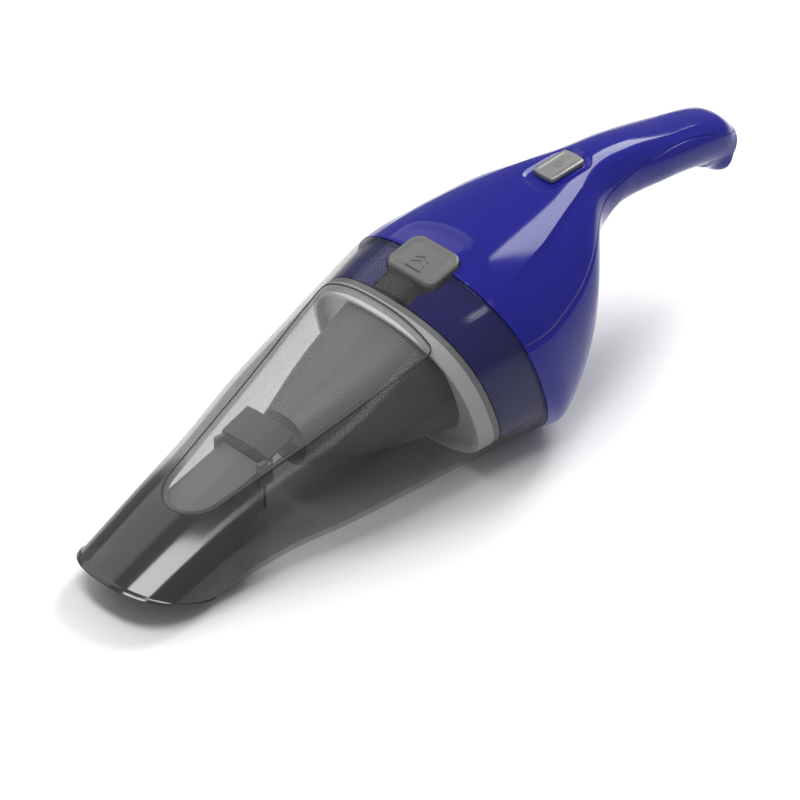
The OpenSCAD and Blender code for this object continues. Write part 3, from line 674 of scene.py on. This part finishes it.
def make_pane():
    """Clear window set flush into the bowl."""
    pane = form_solid("window_pane", WINDOW_FRONT_ROW, WINDOW_REAR_ROW, PANE_INSET, 160, 320)
    tree, normal_at = surface_of(pane)
    boolean(pane, [form_solid("core", WINDOW_FRONT_ROW - 0.1, WINDOW_REAR_ROW + 0.1, PANE_BACK, 110, 200)])
    boolean(pane, [prism("plan", window_plan(0), WINDOW_LOW, WINDOW_HIGH)], "INTERSECT")
    restore_normals(pane, tree, normal_at)
    paint(pane, PANE)
    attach(pane, "bowl")
    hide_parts("bowl_window")


# ---------- button and switch ----------

def rounded_loop(length, width, r, steps=12):
    """Closed rectangle with round corners, always with the same number of points."""
    points = []
    for i, (sx, sy) in enumerate(((1, 1), (-1, 1), (-1, -1), (1, -1))):
        for a in steps_between(90 * i, 90 * i + 90, steps):
            points.append((sx * (length / 2 - r) + r * math.cos(math.radians(a)),
                           sy * (width / 2 - r) + r * math.sin(math.radians(a))))
    return np.array(points)


def bowed_loop(length, width, bow, steps=20):
    """Closed rectangle with ends that bow outwards and small round corners."""
    corner, corner_start = 0.9, 0.85
    points = []
    for side in (1, -1):
        for v in steps_between(-1, 1, steps):
            y = side * v * width / 2
            cut = corner * (max(abs(v) - corner_start, 0) / (1 - corner_start)) ** 2
            x = side * (length / 2 - bow * v * v - cut)
            points.append((x, y))
    return np.array(points)


def cap_loops(plan, base, height, edge, rim_width, rim_drop):
    """Loops of a cap over a plan: side wall, round edge, raised rim and lower middle.
    height gives the top's height over a plan point."""
    half = np.abs(plan).max(axis=0)

    def shrunk(inset):
        return plan * ((half - inset) / half)

    slope, tip = 0.5, 0.1
    levels = [(edge * (1 - math.cos(math.radians(a))), edge * (1 - math.sin(math.radians(a))))
              for a in (0, 22, 45, 67, 90)]
    levels += [(edge + rim_width, 0.0), (edge + rim_width + slope, rim_drop)]
    reach = half.min() - edge - rim_width - slope - tip
    levels += [(edge + rim_width + slope + reach * k, rim_drop) for k in (0.3, 0.6, 0.9, 1)]
    loops = [np.column_stack([plan, np.full(len(plan), base)])]
    for inset, down in levels:
        ring = shrunk(inset)
        z = np.array([height(x, y) for x, y in ring]) - down
        loops.append(np.column_stack([ring, z]))
    return loops


def strip(name, path, width, height, lift):
    """Raised stroke along a plan path, on the surface that lift describes."""
    sunk, chamfer = 0.15, 0.03
    path = np.array(path, float)
    loops = []
    for i, p in enumerate(path):
        d = path[min(i + 1, len(path) - 1)] - path[max(i - 1, 0)]
        side = np.array([-d[1], d[0]]) / np.hypot(*d) * width / 2
        z = lift(*p)
        low, high = z - sunk, z + height
        a, b = p - side, p + side
        top_a = a * (1 - chamfer) + b * chamfer
        top_b = b * (1 - chamfer) + a * chamfer
        loops.append([(*a, low), (*top_a, high), (*top_b, high), (*b, low)])
    return smooth(loft(name, [np.array(loop) * MM for loop in loops]))


def halved(path):
    """Path with a point halfway along each of its stretches."""
    path = np.array(path, float)
    points = [a + (b - a) * k for a, b in zip(path, path[1:]) for k in (0, 0.5)]
    return points + [path[-1]]


def make_button():
    """Release button with a raised rim, two chevrons and a bar."""
    def top(x, y):
        return crown(x + BUTTON_X, y) + BUTTON_RISE

    plan = rounded_loop(BUTTON_LENGTH, BUTTON_WIDTH, BUTTON_CORNER)
    loops = cap_loops(plan, BUTTON_BASE + 0.15, top, edge=1.1, rim_width=1.6, rim_drop=0.35)
    button = smooth(loft("release_cap", [(loop + [BUTTON_X, 0, 0]) * MM for loop in loops]), 50)
    paint(button, GREY)
    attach(button, "release")
    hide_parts("release_button")

    def face(x, y):
        return crown(x, y) + BUTTON_RISE - 0.3

    marks = [[(x, -4.49), (x + 2.5, 0), (x, 4.5)] for x in (BUTTON_X - 4, BUTTON_X - 1)]
    marks.append([(BUTTON_X - 7, y) for y in (-5, 0, 5)])
    for i, path in enumerate(marks):
        mark = strip(f"release_mark_{i + 1}", halved(path), width=1.0, height=0.22, lift=face)
        paint(mark, GREY)
        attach(mark, "release")


def make_spring():
    """The release button's return spring."""
    turn_steps, sides, clearance = 24, 8, 0.2
    climb = BUTTON_BASE - SPRING_FOOT - clearance - 2 * SPRING_WIRE
    around = np.linspace(0, 2 * math.pi, sides, endpoint=False)
    loops = []
    steps = SPRING_TURNS * turn_steps
    for i in range(steps + 1):
        angle = 2 * math.pi * i / turn_steps
        reach = SPRING_RADIUS + SPRING_WIRE * np.sin(around)
        rise = SPRING_FOOT + SPRING_WIRE + climb * i / steps + SPRING_WIRE * np.cos(around)
        loops.append(np.stack([BUTTON_X + reach * math.cos(angle), reach * math.sin(angle), rise], axis=1))
    spring = smooth(loft("spring_coil", [loop * MM for loop in loops]), 50)
    paint(spring, STEEL)
    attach(spring, "body")
    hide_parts("latch_spring")
    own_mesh(spring)


def make_switch():
    """Sliding switch with a generic power mark: an open ring and a stroke."""
    mark_radius, mark_gap = 2.1, 0.5

    def top(x, y):
        return 1.7 - 0.0022 * x * x - 0.004 * y * y

    def face(x, y):
        return top(x, y) - 0.25

    plan = bowed_loop(SWITCH_LENGTH, SWITCH_WIDTH, bow=0.8)
    loops = cap_loops(plan, -0.9, top, edge=0.7, rim_width=0.9, rim_drop=0.25)
    cap = smooth(loft("switch_cap", [loop * MM for loop in loops]), 50)
    pieces = [cap]
    angles = np.linspace(mark_gap, 2 * math.pi - mark_gap, 40)
    marks = [[(mark_radius * math.cos(a), mark_radius * math.sin(a)) for a in angles],
             [(x, 0.0) for x in (0.6, 1.4, 2.2, 3.0)]]
    for i, path in enumerate(marks):
        pieces.append(strip(f"switch_mark_{i + 1}", path, width=0.55, height=0.15, lift=face))
    for piece in pieces:
        piece.data.transform(placed(SWITCH_POS, SWITCH_TILT))
        paint(piece, SILVER)
        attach(piece, "switch")
    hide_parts("power_switch")


# ---------- filter ----------

def filter_ring():
    """Grey ring: a rim along the bowl's wall, and a web from the rim in to the screen's edge."""
    count = 240
    front, web, rear = RING - 0.13, RING - 0.035, RING + 0.03
    screen_front, screen_rear, screen_inset, corner = 2.0, 2.08, -0.1, 0.012
    loops = [outline(FORM, front + corner, RING_INSET, count)]
    loops += [outline(FORM, t, inset, count) for t, inset in (
        (rear - corner, RING_INSET), (rear, RING_INSET + RING_CORNER), (rear, RING_WEB))]
    loops += [outline(SCREEN_FORM, t, screen_inset, count) for t in (screen_rear, screen_front)]
    loops += [outline(FORM, t, inset, count) for t, inset in (
        (web, RING_WEB), (web, RING_INNER), (front, RING_INNER), (front, RING_INSET + RING_CORNER))]
    return smooth(loft("filter_ring", loops, ring=True), 40)


def screen_shell():
    """Thin cone of the filter screen, with a round tip."""
    count, rear = 160, 2.04
    tip = [outline(SCREEN_FORM, -0.012, inset, count) for inset in (6, 3, 1.2)]
    outer = [outline(SCREEN_FORM, t, 0, count) for t in steps_between(0, rear, 60)]
    inner = [outline(SCREEN_FORM, t, SCREEN_WALL, count) for t in steps_between(rear, 0.04, 40)]
    return smooth(loft("screen_shell", tip + outer + inner), 50)


def pleated_cup():
    """Cloth filter inside the screen, with pleats that run towards its tip."""
    count, rear = 8 * PLEATS, 1.98
    outer_inset, inner_inset = 3.4, 5
    outer = [outline(SCREEN_FORM, t, outer_inset, count) for t in steps_between(0.14, rear, 24)]
    inner = [outline(SCREEN_FORM, t, inner_inset, count) for t in steps_between(rear, 0.22, 12)]
    wave = PLEAT_DEPTH * MM * np.cos(np.arange(count) * 2 * math.pi * PLEATS / count)
    for loop in outer:
        out = loop - loop.mean(axis=0)
        loop -= out / np.linalg.norm(out, axis=1)[:, None] * (wave + PLEAT_DEPTH * MM)[:, None]
    return smooth(loft("pleated_cup", outer + inner), 60)


def make_filter():
    """Ring, screen and pleated cup, which come out together."""
    for obj, mat, slot, node in (
            (filter_ring(), RING_GREY, "frame_plastic", "filter_frame"),
            (screen_shell(), SCREEN, "screen_plastic", "filter_screen"),
            (pleated_cup(), CLOTH, "filter_fabric", "filter_cup")):
        paint(obj, mat)
        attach(obj, "filter")
        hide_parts(node)


def screen_material():
    """Fine dotted sheet: rows of small holes that run round the cone. The holes are painted nearly black, as
    painted shade for the dim inside seen through them.
    """
    cone_middle, cone_radius = 0.045, 0.03
    holes_per_metre = 900
    hole_edge, web_edge = 0.28, 0.4
    mat = surface("screen_holes", (0.12, 0.12, 0.125), 0.5, depth=0.000004)
    nodes, links = mat.node_tree.nodes, mat.node_tree.links
    shader = nodes["Principled BSDF"]
    place = next(n for n in nodes if n.type == "TEX_COORD")
    split = nodes.new("ShaderNodeSeparateXYZ")
    links.new(place.outputs["Object"], split.inputs["Vector"])
    down = nodes.new("ShaderNodeMath")
    down.operation = "SUBTRACT"
    down.inputs[1].default_value = cone_middle
    links.new(split.outputs["Z"], down.inputs[0])
    turn = nodes.new("ShaderNodeMath")
    turn.operation = "ARCTAN2"
    links.new(split.outputs["Y"], turn.inputs[0])
    links.new(down.outputs["Value"], turn.inputs[1])
    around = nodes.new("ShaderNodeMath")
    around.operation = "MULTIPLY"
    around.inputs[1].default_value = cone_radius
    links.new(turn.outputs["Value"], around.inputs[0])
    flat = nodes.new("ShaderNodeCombineXYZ")
    links.new(split.outputs["X"], flat.inputs["X"])
    links.new(around.outputs["Value"], flat.inputs["Y"])
    dots = nodes.new("ShaderNodeTexVoronoi")
    dots.voronoi_dimensions = "2D"
    dots.inputs["Scale"].default_value = holes_per_metre
    dots.inputs["Randomness"].default_value = 0
    links.new(flat.outputs["Vector"], dots.inputs["Vector"])
    hole = nodes.new("ShaderNodeMapRange")
    hole.inputs["From Min"].default_value = hole_edge
    hole.inputs["From Max"].default_value = web_edge
    links.new(dots.outputs["Distance"], hole.inputs["Value"])
    # Colour A is the painted shade in the holes, colour B the sheet's own grey.
    hole_shade_mix = nodes.new("ShaderNodeMix")
    hole_shade_mix.data_type = "RGBA"
    hole_shade_mix.inputs["A"].default_value = (0.02, 0.02, 0.02, 1)
    hole_shade_mix.inputs["B"].default_value = (0.15, 0.15, 0.155, 1)
    links.new(hole.outputs["Result"], hole_shade_mix.inputs["Factor"])
    links.new(hole_shade_mix.outputs["Result"], shader.inputs["Base Color"])
    return mat


SCREEN = screen_material()


# ---------- CAD nodes that stay ----------

FINISHES = (
    (DUCT, ("inlet_duct",)),
    (HOOD, ("flap_hood", "latch_tongue")),
    (RUBBER, ("inlet_flap", "motor_mount")),
    (SEAL_GREY, ("filter_seal",)),
    (BLACK, ("motor_bulkhead", "intake_grille", "fan_housing", "fan_impeller", "cell_cradle",
             "charge_socket", "switch_block", "switch_slider")),
    (STEEL, ("flap_pin", "motor_can", "motor_shaft", "cell_tabs", "charge_pin", "shell_screws")),
    (CREAM, ("motor_end_cap",)),
    (FERRITE, ("motor_magnets", "motor_brushes")),
    (COPPER_BRONZE, ("front_bush", "rear_bush", "armature", "commutator")),
    (WRAP, ("cell_left", "cell_right")),
    (BOARD, ("circuit_board",)),
    (WIRE, ("wire_harness",)))


def finish_cad_nodes():
    """Gives the CAD nodes that stay visible their materials."""
    for mat, names in FINISHES:
        for name in names:
            paint(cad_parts[name], mat)


# ---------- camera, lights and floor ----------

def make_camera():
    """Long lens at the photograph's angle, aimed a little beside the object's middle."""
    azimuth, elevation = math.radians(-43.82), math.radians(35.66)
    distance, shift_right, shift_up = 2.771, 0.0109, 0.0222
    right = Vector((math.cos(azimuth), math.sin(azimuth), 0))
    flat = math.cos(elevation)
    back = Vector((math.sin(azimuth) * flat, -math.cos(azimuth) * flat, math.sin(elevation)))
    up = back.cross(right)
    target = Vector((0, 0, 0.048)) - right * shift_right - up * shift_up
    camera = bpy.data.cameras.new("camera")
    camera.lens = 257.6
    camera.sensor_width = 36
    camera.clip_end = 20
    obj = bpy.data.objects.new("camera", camera)
    turned = Matrix((right, up, back)).transposed().to_4x4()
    obj.matrix_world = Matrix.Translation(target + back * distance) @ turned
    bpy.context.scene.collection.objects.link(obj)
    bpy.context.scene.camera = obj


def panel_light(name, place, size, radiance, turn=0.0, tilt=0.0):
    """Soft panel that faces down. It is tilted about X, where a negative tilt faces -Y, and then turned
    about the vertical, both in degrees."""
    light = bpy.data.lights.new(name, "AREA")
    light.shape = "RECTANGLE"
    light.size, light.size_y = size
    light.energy = math.pi * size[0] * size[1] * radiance
    obj = bpy.data.objects.new(name, light)
    turned = Matrix.Rotation(math.radians(turn), 4, "Z") @ Matrix.Rotation(math.radians(tilt), 4, "X")
    obj.matrix_world = Matrix.Translation(place) @ turned
    bpy.context.scene.collection.objects.link(obj)


def make_studio():
    """Pale floor, white surroundings and the panels whose reflections shape the highlights."""
    reach, surroundings = 4.0, 0.36
    corners = [(-reach, -reach, 0), (reach, -reach, 0), (reach, reach, 0), (-reach, reach, 0)]
    mesh = bpy.data.meshes.new("floor")
    mesh.from_pydata(corners, [], [(0, 1, 2, 3)])
    floor = bpy.data.objects.new("floor", mesh)
    bpy.context.scene.collection.objects.link(floor)
    paint(floor, FLOOR)
    world = bpy.data.worlds.new("studio")
    world.use_nodes = True
    world.node_tree.nodes["Background"].inputs["Color"].default_value = (1, 1, 1, 1)
    world.node_tree.nodes["Background"].inputs["Strength"].default_value = surroundings
    bpy.context.scene.world = world
    panel_light("overhead_panel", (1.07, 0.27, 1.05), (1.25, 0.44), 11, turn=22)
    panel_light("nozzle_panel", (-0.42, -0.1, 1.05), (0.2, 0.7), 14)
    panel_light("bowl_panel", (-0.27, -0.32, 1.05), (0.22, 0.2), 4)
    panel_light("skirt_panel", (0.15, -0.45, 1.05), (0.12, 0.16), 7)
    panel_light("back_panel", (0.1, 1.6, 1.5), (1.6, 1.2), 1.4, tilt=-47)
    bpy.context.scene.view_settings.view_transform = "Standard"


make_camera()
make_studio()
make_shells()
make_bowl()
make_pane()
make_window_gap_shade()
make_button()
make_spring()
make_switch()
make_filter()
finish_cad_nodes()
